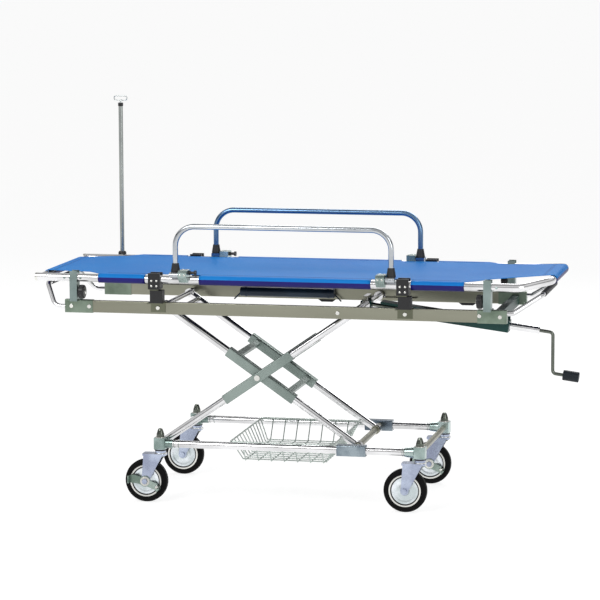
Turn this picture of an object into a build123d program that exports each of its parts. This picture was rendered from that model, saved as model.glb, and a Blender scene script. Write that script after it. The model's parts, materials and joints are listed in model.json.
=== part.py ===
from build123d import *
import math
import os

os.makedirs("parts", exist_ok=True)

# Wheeled cot with a crank-raised scissor, a carriage and a lift-off canvas stretcher.
# All sizes in millimetres, +Z up, +X towards the crank end, -Y the near long side.

# ---- casters and base ----
WHEEL_D = 150.0
TYRE_W = 32.0
RIM_R = 52.0
AXLE_R = 6.0
TRAIL = 50.0
WHEELBASE = 914.0
TRACK_HALF = 253.0
BLOCK = 40.0
CROWN_GAP = 14.0
RACE_H = 23.0
CROWN_Z = WHEEL_D + CROWN_GAP
BLOCK_Z = CROWN_Z + RACE_H
BASE_Z = BLOCK_Z + 19.0
RAIL_R = 13.0
RAIL_WALL = 2.0
KINGPIN_R = 7.0
CROSS_L_R = 11.0
CROSS_R_R = 10.0

# ---- basket ----
BASKET_X0 = -211.0
BASKET_X1 = 152.0
BASKET_SLOPE = 33.0
BASKET_FLOOR_Y = 190.0
BASKET_DEPTH = 56.0
BASKET_FLOOR_Z = BASE_Z - BASKET_DEPTH
RIM_WIRE_R = 3.0
WIRE_R = 2.0

# ---- scissor ----
LEG_LEN = 831.0
TOP_Z = 679.5
LEG_R = 13.0
OUTER_Y = 216.0
INNER_Y = 170.0
SLEEVE = 34.0
SLEEVE_HALF = 143.0
BRACE_AT = 110.0
PIVOT_R = 10.0
TOP_SHAFT_R = 8.0
SLIDER_LEN = 100.0
SLIDER_SIDE = 2 * RAIL_R + 12.0

# ---- carriage ----
BAR_X0 = -792.0
BAR_X1 = 749.0
BAR_IN = 236.0
BAR_OUT = 254.0
BAR_H = 42.0
BAR_WALL = 2.5
CAP_LEN = 97.0
POST_X = (-749.0, 692.0)
CRADLE_X = (-460.0, 405.0)
HANDLE_R = 8.5
HANDLE_L_X = -878.0
HANDLE_R_X = 862.0
HANDLE_L_Z = TOP_Z + 70.5
HANDLE_R_Z = TOP_Z + 68.5
HANDLE_Y = 185.0

# ---- stretcher ----
BED_Y = 287.0
BED_Z = 784.0
BED_R = 14.0
POST_TOP = BED_Z + BED_R + 10.0
CRADLE_TOP = BED_Z + BED_R + 9.0
KNOB_Z = BED_Z - 49.0
BED_X0 = -889.0
BOW_X = 893.0
BOW_Y = 190.0
BOW_Z = BED_Z + 15.0
SPREADER_X = -874.0
SPREADER_R = 11.0
CLOTH_T = 2.2
CLOTH_X0 = -661.0
CLOTH_X1 = 613.0

# ---- side rails ----
GUARD_X0 = -388.0
GUARD_X1 = 363.0
GUARD_Z = 968.6
GUARD_R = 9.5
GUARD_BEND = 68.0
HALF_WIDTH = BED_Y + 39.0
PIN_Y = BED_Y + 25.0
PIN_Z = BED_Z + BED_R + 5.0
FOOT_Z = BED_Z + BED_R + 1.5
FOOT_TOP = FOOT_Z + 11.5
PLUNGER_Z = BED_Z + BED_R + 11.5

# ---- pole ----
POLE_Y = BED_Y + 25.5
POLE_R = 8.0
POLE_TOP = 1350.0
COLLAR_Z = BED_Z + 6.0

# ---- screw and crank ----
TRUNNION_X = 711.0
TRUNNION_Z = 617.0
SCREW_R = 7.0
ARM_X = 876.0
ARM_Z = 453.5
GRIP_X0 = 912.0
GRIP_X1 = 967.0
GRIP_R = 18.0

# ---- worked out from the above ----
FIT = 0.05
PIVOT_X = -WHEELBASE / 2
SPAN = math.sqrt(LEG_LEN**2 - (TOP_Z - BASE_Z) ** 2)
SLIDE_X = PIVOT_X + SPAN
MID_X = PIVOT_X + SPAN / 2
MID_Z = (BASE_Z + TOP_Z) / 2
TILT = math.atan2(TOP_Z - TRUNNION_Z, TRUNNION_X - SLIDE_X)
TILT_DEG = math.degrees(TILT)
WHEEL_R = WHEEL_D / 2
REACH_X = GRIP_X1 + GRIP_R * math.sin(TILT)
# the origin lies under the middle of the overall length
DX = -(BED_X0 + REACH_X) / 2


def along_x(x, y, z):
    """Sketch plane square to X, its sketch x along +Y and sketch y along +Z."""
    return Plane(origin=(x + DX, y, z), x_dir=(0, 1, 0), z_dir=(1, 0, 0))


def along_y(x, y, z):
    """Sketch plane square to Y, its sketch x along +X and sketch y along +Z."""
    return Plane(origin=(x + DX, y, z), x_dir=(1, 0, 0), z_dir=(0, -1, 0))


def along_z(x, y, z):
    return Plane(origin=(x + DX, y, z), x_dir=(1, 0, 0), z_dir=(0, 0, 1))


def along_leg(x0, z0, x1, z1, y, at=0.0):
    """Sketch plane square to a leg, a distance along it from its first pivot."""
    run = math.hypot(x1 - x0, z1 - z0)
    ux = (x1 - x0) / run
    uz = (z1 - z0) / run
    return Plane(origin=(x0 + at * ux + DX, y, z0 + at * uz), x_dir=(0, 1, 0), z_dir=(ux, 0, uz))


def along_screw(at=0.0):
    """Sketch plane square to the screw; sketch x is along +Y, sketch y points up."""
    x = SLIDE_X + at * math.cos(TILT) + DX
    z = TOP_Z - at * math.sin(TILT)
    return Plane(origin=(x, 0, z), x_dir=(0, 1, 0), z_dir=(math.cos(TILT), 0, -math.sin(TILT)))


OUTER = (PIVOT_X, BASE_Z, SLIDE_X, TOP_Z)
INNER = (PIVOT_X, TOP_Z, SLIDE_X, BASE_Z)
SIDES = (-1, 1)

# =====================================================================
# Base
# =====================================================================

with BuildPart() as base_rails:
    for s in SIDES:
        with BuildSketch(along_x(PIVOT_X + BLOCK / 2, s * TRACK_HALF, BASE_Z)):
            Circle(RAIL_R)
            Circle(RAIL_R - RAIL_WALL, mode=Mode.SUBTRACT)
        extrude(amount=WHEELBASE - BLOCK)
base_rails.part.label = "base_rails"
export_step(base_rails.part, "parts/base_rails.step")

with BuildPart() as corner_blocks:
    for sx in SIDES:
        for s in SIDES:
            x = sx * WHEELBASE / 2
            with BuildSketch(along_z(x, s * TRACK_HALF, BLOCK_Z)):
                RectangleRounded(BLOCK, BLOCK, 4)
            extrude(amount=BLOCK)
            # collar that grips the end of the long rail; it flares at the crank end
            with BuildSketch(along_y(0, s * TRACK_HALF, BASE_Z)):
                with BuildLine():
                    near = 19.0 if sx > 0 else 15.5
                    far = 15.5 if sx > 0 else 15.0
                    x0 = sx * (WHEELBASE / 2 - BLOCK / 2)
                    x1 = x0 - sx * (31 if sx > 0 else 25)
                    Polyline((x0, RAIL_R + FIT), (x0, near), (x1, far), (x1, RAIL_R + FIT), close=True)
                make_face()
            revolve(axis=Axis((0, s * TRACK_HALF, BASE_Z), (1, 0, 0)))
            with BuildSketch(along_z(x, s * TRACK_HALF, BLOCK_Z)):
                Circle(KINGPIN_R + FIT)
            extrude(amount=BLOCK, mode=Mode.SUBTRACT)
corner_blocks.part.label = "corner_blocks"
export_step(corner_blocks.part, "parts/corner_blocks.step")

with BuildPart() as base_cross_tubes:
    for sx, r in ((-1, CROSS_L_R), (1, CROSS_R_R)):
        half = TRACK_HALF - BLOCK / 2
        with BuildSketch(along_y(sx * WHEELBASE / 2, half, BASE_Z)):
            Circle(r)
            Circle(r - 2, mode=Mode.SUBTRACT)
        extrude(amount=2 * half)
base_cross_tubes.part.label = "base_cross_tubes"
export_step(base_cross_tubes.part, "parts/base_cross_tubes.step")

# a kingpin with a head under each fork and a domed nut on each block
with BuildPart() as kingpins:
    for sx in SIDES:
        for s in SIDES:
            with BuildSketch(along_y(sx * WHEELBASE / 2, s * TRACK_HALF, 0)):
                with BuildLine():
                    Polyline(
                        (0, CROWN_Z - 7),
                        (13, CROWN_Z - 7),
                        (13, CROWN_Z - 0.5),
                        (KINGPIN_R, CROWN_Z - 0.5),
                        (KINGPIN_R, BLOCK_Z + BLOCK),
                        (14.5, BLOCK_Z + BLOCK),
                        (13.5, BLOCK_Z + BLOCK + 12),
                        (9.5, BLOCK_Z + BLOCK + 25),
                        (6.5, BLOCK_Z + BLOCK + 31),
                        (0, BLOCK_Z + BLOCK + 33),
                        close=True,
                    )
                make_face()
            revolve(axis=Axis((sx * WHEELBASE / 2 + DX, s * TRACK_HALF, 0), (0, 0, 1)))
kingpins.part.label = "kingpins"
export_step(kingpins.part, "parts/kingpins.step")

# wire basket that hangs between the long rails, its rim resting on them
RIM_INSET = 10.0
RIM_Y = TRACK_HALF - RIM_INSET
RIM_Z = BASE_Z + math.sqrt((RAIL_R + RIM_WIRE_R + 0.02) ** 2 - RIM_INSET**2)
FLOOR_X0 = BASKET_X0 + BASKET_SLOPE
FLOOR_X1 = BASKET_X1 - BASKET_SLOPE
LONG_WIRES = 12
CROSS_WIRES = 7
with BuildPart() as basket:
    with BuildLine() as rim_path:
        FilletPolyline(
            (BASKET_X0 + DX, -RIM_Y, RIM_Z),
            (BASKET_X1 + DX, -RIM_Y, RIM_Z),
            (BASKET_X1 + DX, RIM_Y, RIM_Z),
            (BASKET_X0 + DX, RIM_Y, RIM_Z),
            radius=14,
            close=True,
        )
    with BuildSketch(Plane(rim_path.line @ 0, z_dir=rim_path.line % 0)):
        Circle(RIM_WIRE_R)
    sweep(path=rim_path.line)
    for i in range(LONG_WIRES):
        top_y = -RIM_Y + 20 + i * (2 * RIM_Y - 40) / (LONG_WIRES - 1)
        low_y = top_y * (BASKET_FLOOR_Y - 2) / (RIM_Y - 20)
        with BuildLine() as long_path:
            Polyline(
                (BASKET_X0 + DX, top_y, RIM_Z),
                (FLOOR_X0 + DX, low_y, BASKET_FLOOR_Z),
                (FLOOR_X1 + DX, low_y, BASKET_FLOOR_Z),
                (BASKET_X1 + DX, top_y, RIM_Z),
            )
        with BuildSketch(Plane(long_path.line @ 0, z_dir=long_path.line % 0)):
            Circle(WIRE_R)
        sweep(path=long_path.line, transition=Transition.RIGHT)
    for i in range(CROSS_WIRES):
        x = FLOOR_X0 + 10 + i * (FLOOR_X1 - FLOOR_X0 - 20) / (CROSS_WIRES - 1)
        z = BASKET_FLOOR_Z - 3
        with BuildLine() as cross_path:
            Polyline(
                (x + DX, -RIM_Y, RIM_Z),
                (x + DX, -BASKET_FLOOR_Y - 4, z),
                (x + DX, BASKET_FLOOR_Y + 4, z),
                (x + DX, RIM_Y, RIM_Z),
            )
        with BuildSketch(Plane(cross_path.line @ 0, z_dir=cross_path.line % 0)):
            Circle(WIRE_R)
        sweep(path=cross_path.line, transition=Transition.RIGHT)
basket.part.label = "basket"
export_step(basket.part, "parts/basket.step")

# =====================================================================
# Casters
# =====================================================================

CORNERS = {"fl": (-1, -1), "fr": (1, -1), "rl": (-1, 1), "rr": (1, 1)}
BRAKED = ("fl", "rr")
LEG_IN = TYRE_W / 2 + 4
LEG_T = 3.5

for tag, (sx, s) in CORNERS.items():
    cx = sx * WHEELBASE / 2
    cy = s * TRACK_HALF
    ax = cx - TRAIL
    braked = tag in BRAKED
    cheek = CROWN_Z + 3 - WHEEL_R
    near_end = LEG_IN + LEG_T + (5.0 if braked else 0.5)

    with BuildPart() as caster_fork:
        # turned race under the corner block
        with BuildSketch(along_z(cx, cy, CROWN_Z)):
            Circle(19)
        extrude(amount=RACE_H)
        # crown plate
        with BuildSketch(along_z((cx + ax) / 2 + 4, cy, CROWN_Z)):
            RectangleRounded(TRAIL + 32, 2 * (LEG_IN + LEG_T), 8)
        extrude(amount=7)
        # two tapered cheeks down to the axle
        for side in SIDES:
            y_face = cy + side * LEG_IN + (LEG_T if side > 0 else 0)
            with BuildSketch(along_y(ax, y_face, WHEEL_R)):
                with BuildLine():
                    Polyline((-6, cheek), (TRAIL + 12, cheek), (13, 0), (-13, 0), (-10, 40), close=True)
                make_face()
                Circle(14)
            extrude(amount=LEG_T)
        with BuildSketch(along_z(cx, cy, CROWN_Z - 4)):
            Circle(KINGPIN_R + FIT)
        extrude(amount=30, mode=Mode.SUBTRACT)
        # the kingpin head needs room between the cheeks
        with BuildSketch(along_z(cx, cy, CROWN_Z - 14)):
            Circle(14)
        extrude(amount=14, mode=Mode.SUBTRACT)
        with BuildSketch(along_y(ax, cy + 40, WHEEL_R)):
            Circle(AXLE_R + 0.02)
        extrude(amount=80, mode=Mode.SUBTRACT)
        # axle bolt, its head and nut outside the cheeks
        with BuildSketch(along_y(ax, cy + LEG_IN + LEG_T + 6, WHEEL_R)) as axle_shank:
            Circle(AXLE_R)
        extrude(amount=2 * (LEG_IN + LEG_T) + 6 + near_end - LEG_IN - LEG_T + 5)
        with BuildSketch(along_y(ax, cy + LEG_IN + LEG_T + 6, WHEEL_R)):
            RegularPolygon(10, 6)
        extrude(amount=6)
        with BuildSketch(along_y(ax, cy - near_end, WHEEL_R)):
            RegularPolygon(10, 6)
        extrude(amount=6)
    caster_fork.part.label = f"caster_fork_{tag}"
    export_step(caster_fork.part, f"parts/caster_fork_{tag}.step")

    with BuildPart() as wheel_hub:
        with BuildSketch(along_x(ax, cy, WHEEL_R)):
            with BuildLine():
                Polyline(
                    (-LEG_IN + 0.3, AXLE_R + FIT),
                    (LEG_IN - 0.3, AXLE_R + FIT),
                    (LEG_IN - 0.3, 15),
                    (9, 17),
                    (9, 38),
                    (13, 42),
                    (13, RIM_R - 0.03),
                    (-13, RIM_R - 0.03),
                    (-13, 42),
                    (-9, 38),
                    (-9, 17),
                    (-LEG_IN + 0.3, 15),
                    close=True,
                )
            make_face()
        revolve(axis=Axis((ax + DX, cy, WHEEL_R), (0, 1, 0)))
    wheel_hub.part.label = f"wheel_hub_{tag}"
    export_step(wheel_hub.part, f"parts/wheel_hub_{tag}.step")

    with BuildPart() as tyre:
        with BuildSketch(along_x(ax, cy, WHEEL_R)) as tyre_section:
            with Locations((0, (RIM_R + WHEEL_R) / 2)):
                Rectangle(TYRE_W, WHEEL_R - RIM_R)
            fillet(tyre_section.vertices().group_by(Axis.Y)[-1], 9)
            fillet(tyre_section.vertices().group_by(Axis.Y)[0], 1.5)
        revolve(axis=Axis((ax + DX, cy, WHEEL_R), (0, 1, 0)))
    tyre.part.label = f"tyre_{tag}"
    export_step(tyre.part, f"parts/tyre_{tag}.step")

    if braked:
        # rocking pedal plate that turns on the axle bolt
        with BuildPart() as brake:
            with BuildSketch(along_y(ax, cy - LEG_IN - LEG_T - 0.3, WHEEL_R)):
                Circle(19)
                with BuildLine():
                    Polyline(
                        (-58, 20),
                        (-40, 22),
                        (-6, 12),
                        (40, -6),
                        (56, -22),
                        (46, -34),
                        (10, -19),
                        (-30, -8),
                        (-58, -6),
                        close=True,
                    )
                make_face()
                Circle(AXLE_R + FIT, mode=Mode.SUBTRACT)
            extrude(amount=4)
            with BuildSketch(along_y(ax, cy - LEG_IN - LEG_T - 4.3, WHEEL_R)):
                with BuildLine():
                    Polyline((-58, 20), (-54, 20.5), (-54, -6), (-58, -6), close=True)
                make_face()
                with BuildLine():
                    Polyline((56, -22), (46, -34), (43, -31.5), (53, -19.5), close=True)
                make_face()
            extrude(amount=18)
        brake.part.label = f"brake_{tag}"
        export_step(brake.part, f"parts/brake_{tag}.step")

# =====================================================================
# Slider at the foot of the inner legs
# =====================================================================

with BuildPart() as slider_blocks:
    for s in SIDES:
        with BuildSketch(along_x(SLIDE_X - 56, s * TRACK_HALF, BASE_Z)):
            RectangleRounded(SLIDER_SIDE, SLIDER_SIDE, 5)
            Circle(RAIL_R + FIT, mode=Mode.SUBTRACT)
        extrude(amount=SLIDER_LEN)
slider_blocks.part.label = "slider_blocks"
export_step(slider_blocks.part, "parts/slider_blocks.step")

with BuildPart() as slider_cross_tube:
    half = TRACK_HALF - SLIDER_SIDE / 2
    with BuildSketch(along_y(SLIDE_X, half, BASE_Z)):
        Circle(CROSS_L_R)
    extrude(amount=2 * half)
    # collars on both sides of each leg
    for s in SIDES:
        for y in (INNER_Y - 24, INNER_Y + 24):
            with BuildSketch(along_y(SLIDE_X, s * y + 5, BASE_Z)):
                Circle(CROSS_L_R + 4)
            extrude(amount=10)
    with BuildSketch(along_y(SLIDE_X, half, BASE_Z)):
        Circle(CROSS_L_R - 2)
    extrude(amount=2 * half, mode=Mode.SUBTRACT)
slider_cross_tube.part.label = "slider_cross_tube"
export_step(slider_cross_tube.part, "parts/slider_cross_tube.step")

# =====================================================================
# Outer legs
# =====================================================================

with BuildPart() as outer_legs:
    for s in SIDES:
        with BuildSketch(along_leg(*OUTER, s * OUTER_Y, 8)):
            Circle(LEG_R)
            Circle(LEG_R - 2, mode=Mode.SUBTRACT)
        extrude(amount=LEG_LEN - 16)
        for x, z, r, bore in (
            (PIVOT_X, BASE_Z, 16.5, CROSS_L_R + FIT),
            (SLIDE_X, TOP_Z, 16.0, TOP_SHAFT_R + 0.02),
        ):
            with BuildSketch(along_y(x, s * OUTER_Y + 12, z)):
                Circle(r)
            extrude(amount=24)
            with BuildSketch(along_y(x, s * OUTER_Y + 14, z)):
                Circle(bore)
            extrude(amount=28, mode=Mode.SUBTRACT)
        with BuildSketch(along_y(MID_X, s * OUTER_Y + 20, MID_Z)):
            Circle(AXLE_R + 0.02)
        extrude(amount=40, mode=Mode.SUBTRACT)
outer_legs.part.label = "outer_legs"
export_step(outer_legs.part, "parts/outer_legs.step")

with BuildPart() as outer_sleeves:
    for s in SIDES:
        with BuildSketch(along_leg(*OUTER, s * OUTER_Y, LEG_LEN / 2 - SLEEVE_HALF)):
            RectangleRounded(SLEEVE, SLEEVE, 5)
            Circle(LEG_R + 0.02, mode=Mode.SUBTRACT)
        extrude(amount=2 * SLEEVE_HALF)
        with BuildSketch(along_y(MID_X, s * OUTER_Y + 20, MID_Z)):
            Circle(AXLE_R + 0.02)
        extrude(amount=40, mode=Mode.SUBTRACT)
outer_sleeves.part.label = "outer_sleeves"
export_step(outer_sleeves.part, "parts/outer_sleeves.step")

# top shaft in two halves joined by a bridge over the screw; its round ends run in the side bars
with BuildPart() as outer_top_shaft:
    for s in SIDES:
        y_out = BAR_IN + 14.0
        with BuildSketch(along_y(SLIDE_X, y_out if s > 0 else -12, TOP_Z)):
            Circle(TOP_SHAFT_R)
        extrude(amount=y_out - 12)
        with BuildSketch(along_y(SLIDE_X, s * (BAR_IN + 9) + 5, TOP_Z)):
            Circle(BAR_H / 2 - BAR_WALL - 0.3)
        extrude(amount=10)
        with BuildSketch(along_y(SLIDE_X, s * 32.5 + 2.5, TOP_Z)):
            Circle(15)
            with Locations((0, 15)):
                Rectangle(16, 32)
        extrude(amount=5)
    with BuildSketch(along_y(SLIDE_X, 35, TOP_Z)):
        with Locations((0, 28.5)):
            Rectangle(16, 5)
    extrude(amount=70)
outer_top_shaft.part.label = "outer_top_shaft"
export_step(outer_top_shaft.part, "parts/outer_top_shaft.step")

# pivot bolts through both pairs of legs, with a spacer between them
with BuildPart() as centre_bolts:
    for s in SIDES:
        outer_face = OUTER_Y + SLEEVE / 2
        inner_face = INNER_Y - SLEEVE / 2
        for y0, y1, r in (
            (inner_face - 7, outer_face + 5, AXLE_R),
            (outer_face, outer_face + 5, 10),
            (INNER_Y + SLEEVE / 2 + 0.2, OUTER_Y - SLEEVE / 2, 13),
            (inner_face - 7, inner_face - 0.3, 10),
        ):
            with BuildSketch(along_y(MID_X, y1 if s > 0 else -y0, MID_Z)):
                Circle(r)
            extrude(amount=y1 - y0)
centre_bolts.part.label = "centre_bolts"
export_step(centre_bolts.part, "parts/centre_bolts.step")

# =====================================================================
# Inner legs
# =====================================================================

with BuildPart() as inner_leg_frame:
    spacer_x = PIVOT_X + 40 * SPAN / LEG_LEN
    spacer_z = TOP_Z - 40 * (TOP_Z - BASE_Z) / LEG_LEN
    with BuildSketch(along_y(spacer_x, INNER_Y, spacer_z)):
        Circle(PIVOT_R)
    extrude(amount=2 * INNER_Y)
    for s in SIDES:
        with BuildSketch(along_leg(*INNER, s * INNER_Y, 8)):
            Circle(LEG_R)
        extrude(amount=LEG_LEN - 16)
        with BuildSketch(along_leg(*INNER, s * INNER_Y, 60)):
            Circle(LEG_R - 2)
        extrude(amount=LEG_LEN - 80, mode=Mode.SUBTRACT)
        for x, z, bore in ((PIVOT_X, TOP_Z, PIVOT_R + FIT), (SLIDE_X, BASE_Z, CROSS_L_R + FIT)):
            with BuildSketch(along_y(x, s * INNER_Y + 12, z)):
                Circle(16.5)
            extrude(amount=24)
            with BuildSketch(along_y(x, s * INNER_Y + 14, z)):
                Circle(bore)
            extrude(amount=28, mode=Mode.SUBTRACT)
        with BuildSketch(along_y(MID_X, s * INNER_Y + 20, MID_Z)):
            Circle(AXLE_R + FIT)
        extrude(amount=40, mode=Mode.SUBTRACT)
inner_leg_frame.part.label = "inner_leg_frame"
export_step(inner_leg_frame.part, "parts/inner_leg_frame.step")

with BuildPart() as inner_sleeve_frame:
    for at in (LEG_LEN / 2 - BRACE_AT, LEG_LEN / 2 + BRACE_AT):
        with BuildSketch(along_leg(*INNER, 0, at - 10)):
            Rectangle(2 * INNER_Y - SLEEVE + 4, 20)
        extrude(amount=20)
    for s in SIDES:
        with BuildSketch(along_leg(*INNER, s * INNER_Y, LEG_LEN / 2 - SLEEVE_HALF)):
            RectangleRounded(SLEEVE, SLEEVE, 5)
        extrude(amount=2 * SLEEVE_HALF)
        with BuildSketch(along_leg(*INNER, s * INNER_Y, LEG_LEN / 2 - SLEEVE_HALF - 5)):
            Circle(LEG_R + 0.02)
        extrude(amount=2 * SLEEVE_HALF + 10, mode=Mode.SUBTRACT)
        with BuildSketch(along_y(MID_X, s * INNER_Y + 20, MID_Z)):
            Circle(AXLE_R + FIT)
        extrude(amount=40, mode=Mode.SUBTRACT)
inner_sleeve_frame.part.label = "inner_sleeve_frame"
export_step(inner_sleeve_frame.part, "parts/inner_sleeve_frame.step")

# =====================================================================
# Screw, nut and crank
# =====================================================================

TO_TRUNNION = (TRUNNION_X - SLIDE_X) / math.cos(TILT)
TUBE_START = TO_TRUNNION + 15
TUBE_END = (831 - SLIDE_X) / math.cos(TILT)
NECK_END = TUBE_END + 24

with BuildPart() as nut_block:
    with BuildSketch(along_screw(-17)) as nut_section:
        Rectangle(40, 27)
        Circle(SCREW_R + 0.5, mode=Mode.SUBTRACT)
    extrude(amount=34)
    for s in SIDES:
        with BuildSketch(along_y(SLIDE_X, 20.5 if s > 0 else -11.8, TOP_Z)):
            Circle(TOP_SHAFT_R + FIT)
        extrude(amount=8.7, mode=Mode.SUBTRACT)
nut_block.part.label = "nut_block"
export_step(nut_block.part, "parts/nut_block.step")

with BuildPart() as screw_housing:
    with BuildSketch(along_screw(50)):
        with Locations((0, -1.5)):
            Rectangle(56, 39)
        with Locations((0, -4.5)):
            Rectangle(50, 39, mode=Mode.SUBTRACT)
    extrude(amount=TUBE_START - 50)
    # end wall that carries the screw tube
    with BuildSketch(along_screw(TUBE_START - 5)):
        with Locations((0, -1.5)):
            Rectangle(56, 39)
    extrude(amount=5)
    with BuildSketch(along_screw(TUBE_START - 6)):
        Circle(SCREW_R + FIT)
    extrude(amount=8, mode=Mode.SUBTRACT)
    # slots for the top shaft
    with BuildSketch(along_screw(49)):
        Rectangle(60, 19)
    extrude(amount=86, mode=Mode.SUBTRACT)
    with BuildSketch(along_y(TRUNNION_X, 30, TRUNNION_Z)):
        Circle(5 + FIT)
    extrude(amount=60, mode=Mode.SUBTRACT)
screw_housing.part.label = "screw_housing"
export_step(screw_housing.part, "parts/screw_housing.step")

with BuildPart() as screw_tube:
    with BuildSketch(along_screw(TUBE_START)):
        Circle(12.5)
        Circle(SCREW_R + FIT, mode=Mode.SUBTRACT)
    extrude(amount=TUBE_END - TUBE_START)
screw_tube.part.label = "screw_tube"
export_step(screw_tube.part, "parts/screw_tube.step")

with BuildPart() as lift_screw:
    with BuildSketch(along_screw(-24)):
        Circle(SCREW_R)
    extrude(amount=TUBE_END + 24)
    with BuildSketch(along_screw(TUBE_END)):
        Circle(6)
    extrude(amount=NECK_END - TUBE_END)
lift_screw.part.label = "lift_screw"
export_step(lift_screw.part, "parts/lift_screw.step")


def screw_point(x):
    return (x + DX, 0, TOP_Z - (x - SLIDE_X) * math.tan(TILT))


def grip_point(x):
    return (x + DX, 0, ARM_Z - (x - ARM_X) * math.tan(TILT))


with BuildPart() as crank_arm:
    start = along_screw(NECK_END)
    with BuildLine() as arm_path:
        FilletPolyline(
            (start.origin.X, 0, start.origin.Z),
            screw_point(ARM_X),
            grip_point(ARM_X),
            grip_point(GRIP_X1 - 6),
            radius=13,
        )
    with BuildSketch(start):
        Circle(6)
    sweep(path=arm_path.line)
crank_arm.part.label = "crank_arm"
export_step(crank_arm.part, "parts/crank_arm.step")

with BuildPart() as crank_grip:
    gx, _, gz = grip_point(GRIP_X0)
    grip_plane = Plane(origin=(gx, 0, gz), x_dir=(0, 1, 0), z_dir=(math.cos(TILT), 0, -math.sin(TILT)))
    grip_len = (GRIP_X1 - GRIP_X0) / math.cos(TILT)
    with BuildSketch(grip_plane):
        Circle(GRIP_R)
    extrude(amount=grip_len)
    fillet(crank_grip.edges().filter_by(GeomType.CIRCLE), 2.5)
    with BuildSketch(grip_plane):
        Circle(6 + FIT)
    extrude(amount=grip_len - 5, mode=Mode.SUBTRACT)
crank_grip.part.label = "crank_grip"
export_step(crank_grip.part, "parts/crank_grip.step")

# =====================================================================
# Carriage
# =====================================================================

BAR_MID = (BAR_IN + BAR_OUT) / 2
BAR_LEN = BAR_X1 - BAR_X0
BAR_TOP = TOP_Z + BAR_H / 2

with BuildPart() as side_bars:
    for s in SIDES:
        with BuildSketch(along_x(BAR_X0, s * BAR_MID, TOP_Z)):
            RectangleRounded(BAR_OUT - BAR_IN, BAR_H, 2.5)
            RectangleRounded(BAR_OUT - BAR_IN - 2 * BAR_WALL, BAR_H - 2 * BAR_WALL, 0.5, mode=Mode.SUBTRACT)
        extrude(amount=BAR_LEN)
        # slot for the top shaft in the inner wall
        with BuildSketch(along_y(SLIDE_X + 60, s * (BAR_IN + 1) + 3, TOP_Z)):
            SlotOverall(156, 2 * TOP_SHAFT_R + 2)
        extrude(amount=6, mode=Mode.SUBTRACT)
side_bars.part.label = "side_bars"
export_step(side_bars.part, "parts/side_bars.step")

with BuildPart() as carriage_shaft:
    with BuildSketch(along_y(PIVOT_X, BAR_IN, TOP_Z)):
        Circle(PIVOT_R)
        Circle(PIVOT_R - 3, mode=Mode.SUBTRACT)
    extrude(amount=2 * BAR_IN)
carriage_shaft.part.label = "carriage_shaft"
export_step(carriage_shaft.part, "parts/carriage_shaft.step")

# cross member at the crank end, with two ears and the pins the screw housing tilts on
with BuildPart() as end_cross:
    with BuildSketch(along_y(TRUNNION_X + 1, BAR_IN - 2, TOP_Z - 7)):
        RectangleRounded(28, 35, 3)
        RectangleRounded(23, 30, 1, mode=Mode.SUBTRACT)
    extrude(amount=2 * BAR_IN - 4)
    for s in SIDES:
        with BuildSketch(along_y(TRUNNION_X, s * 31.5 + 2.5, TRUNNION_Z)):
            Circle(13)
            with Locations((0, 20)):
                Rectangle(26, 40)
        extrude(amount=5)
        with BuildSketch(along_y(TRUNNION_X, s * 30.5 + 7.5, TRUNNION_Z)):
            Circle(5)
        extrude(amount=15)
end_cross.part.label = "end_cross"
export_step(end_cross.part, "parts/end_cross.step")

with BuildPart() as end_caps:
    for s in SIDES:
        for x0, wall_x in ((BAR_X0 - 3, BAR_X0 - 3), (BAR_X1 - CAP_LEN, BAR_X1)):
            with BuildSketch(along_x(x0, s * BAR_MID, TOP_Z)):
                RectangleRounded(BAR_OUT - BAR_IN + 4, BAR_H + 4, 3)
                RectangleRounded(BAR_OUT - BAR_IN + 0.04, BAR_H + 0.04, 2.5, mode=Mode.SUBTRACT)
            extrude(amount=CAP_LEN + 3)
            with BuildSketch(along_x(wall_x, s * BAR_MID, TOP_Z)):
                RectangleRounded(BAR_OUT - BAR_IN + 4, BAR_H + 4, 3)
            extrude(amount=3)
end_caps.part.label = "end_caps"
export_step(end_caps.part, "parts/end_caps.step")

HANDLES = (
    # start x, bend x, start z, bow x, bow z, bend radius
    (BAR_X0 - 3, BAR_X0 - 42, TOP_Z - 3.5, HANDLE_L_X, HANDLE_L_Z, 36),
    (BAR_X1 + 3, BAR_X1 + 22, TOP_Z + 11.5, HANDLE_R_X, HANDLE_R_Z, 18),
)
with BuildPart() as handles:
    for x0, xb, z0, x1, z1, bend in HANDLES:
        with BuildLine() as handle_path:
            FilletPolyline(
                (x0 + DX, -BAR_MID, z0),
                (xb + DX, -BAR_MID, z0),
                (x1 + DX, -HANDLE_Y, z1),
                (x1 + DX, HANDLE_Y, z1),
                (xb + DX, BAR_MID, z0),
                (x0 + DX, BAR_MID, z0),
                radius=bend,
            )
        with BuildSketch(along_x(x0, -BAR_MID, z0)):
            Circle(HANDLE_R)
            Circle(HANDLE_R - 1.5, mode=Mode.SUBTRACT)
        sweep(path=handle_path.line)
handles.part.label = "handles"
export_step(handles.part, "parts/handles.step")

with BuildPart() as handle_grips:
    for x, z in ((HANDLE_L_X, HANDLE_L_Z), (HANDLE_R_X, HANDLE_R_Z)):
        with BuildSketch(along_y(x, 145, z)):
            Circle(HANDLE_R + 2)
            Circle(HANDLE_R + 0.03, mode=Mode.SUBTRACT)
        extrude(amount=290)
handle_grips.part.label = "handle_grips"
export_step(handle_grips.part, "parts/handle_grips.step")

RISER_Z0 = BAR_TOP + 3
RISER_Z1 = BED_Z - 37.0
CRADLE_Z0 = RISER_Z1 + 4.0

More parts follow.
